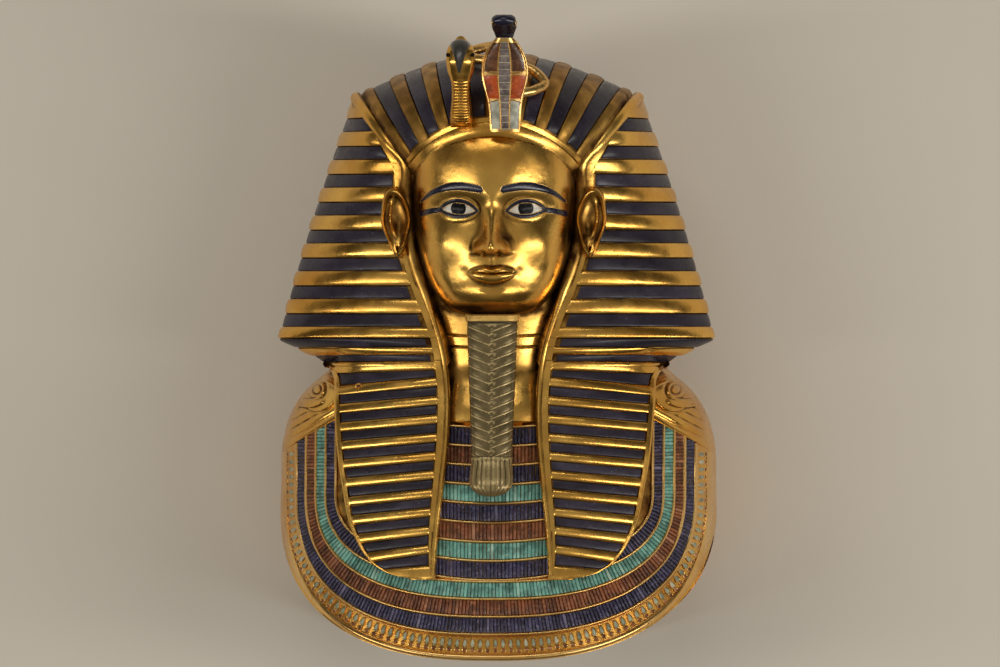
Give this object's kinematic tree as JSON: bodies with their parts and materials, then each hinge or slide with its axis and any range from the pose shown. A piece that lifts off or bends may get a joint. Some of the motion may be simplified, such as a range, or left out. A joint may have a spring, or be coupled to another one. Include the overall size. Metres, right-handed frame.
{
  "type": "egyptian mummy mask",
  "caption": "Royal mummy mask of sheet gold: striped headcloth with lappets, broad bead collar, plaited beard, and a cobra and a vulture on the brow, lying on its back.",
  "frame": {"origin": "on the floor under the centre of the box round the whole mask", "axes": "the mask lies on its back: +Z is the way the face looks, +Y runs from the collar to the crown, +X is the wearer's left"},
  "size_m": [0.3926, 0.5734, 0.35],
  "materials": {
    "gold": "polished gold with warm brown tarnish in the low places",
    "blue_glass": "very dark blue glass paste, glossy",
    "lapis": "polished dark blue stone",
    "faience": "aged grey-olive glaze in a gold lattice",
    "horn": "polished black stone",
    "quartz": "polished milky stone",
    "obsidian": "polished black glass"
  },
  "bodies": {
    "root": {"mask_shell": "gold", "beard": "faience", "cobra_hood": "gold", "cobra_head": "lapis", "vulture_head": "gold", "vulture_beak": "horn", "brow_inlay_left": "lapis", "eye_line_left": "lapis", "eye_white_left": "quartz", "pupil_left": "obsidian", "brow_inlay_right": "lapis", "eye_line_right": "lapis", "eye_white_right": "quartz", "pupil_right": "obsidian", "wing_glass_left_1": "blue_glass", "wing_glass_left_2": "blue_glass", "wing_glass_left_3": "blue_glass", "wing_glass_left_4": "blue_glass", "wing_glass_left_5": "blue_glass", "wing_glass_left_6": "blue_glass", "wing_glass_left_7": "blue_glass", "wing_glass_left_8": "blue_glass", "wing_glass_right_1": "blue_glass", "wing_glass_right_2": "blue_glass", "wing_glass_right_3": "blue_glass", "wing_glass_right_4": "blue_glass", "wing_glass_right_5": "blue_glass", "wing_glass_right_6": "blue_glass", "wing_glass_right_7": "blue_glass", "wing_glass_right_8": "blue_glass", "lappet_glass_left_1": "blue_glass", "lappet_glass_left_2": "blue_glass", "lappet_glass_left_3": "blue_glass", "lappet_glass_left_4": "blue_glass", "lappet_glass_left_5": "blue_glass", "lappet_glass_left_6": "blue_glass", "lappet_glass_left_7": "blue_glass", "lappet_glass_left_8": "blue_glass", "lappet_glass_left_9": "blue_glass", "lappet_glass_left_10": "blue_glass", "lappet_glass_left_11": "blue_glass", "lappet_glass_right_1": "blue_glass", "lappet_glass_right_2": "blue_glass", "lappet_glass_right_3": "blue_glass", "lappet_glass_right_4": "blue_glass", "lappet_glass_right_5": "blue_glass", "lappet_glass_right_6": "blue_glass", "lappet_glass_right_7": "blue_glass", "lappet_glass_right_8": "blue_glass", "lappet_glass_right_9": "blue_glass", "lappet_glass_right_10": "blue_glass", "lappet_glass_right_11": "blue_glass", "crown_glass_1": "blue_glass", "crown_glass_2": "blue_glass", "crown_glass_3": "blue_glass", "crown_glass_4": "blue_glass", "crown_glass_5": "blue_glass", "crown_glass_6": "blue_glass", "crown_glass_7": "blue_glass", "crown_glass_8": "blue_glass"}
  },
  "joints": []
}
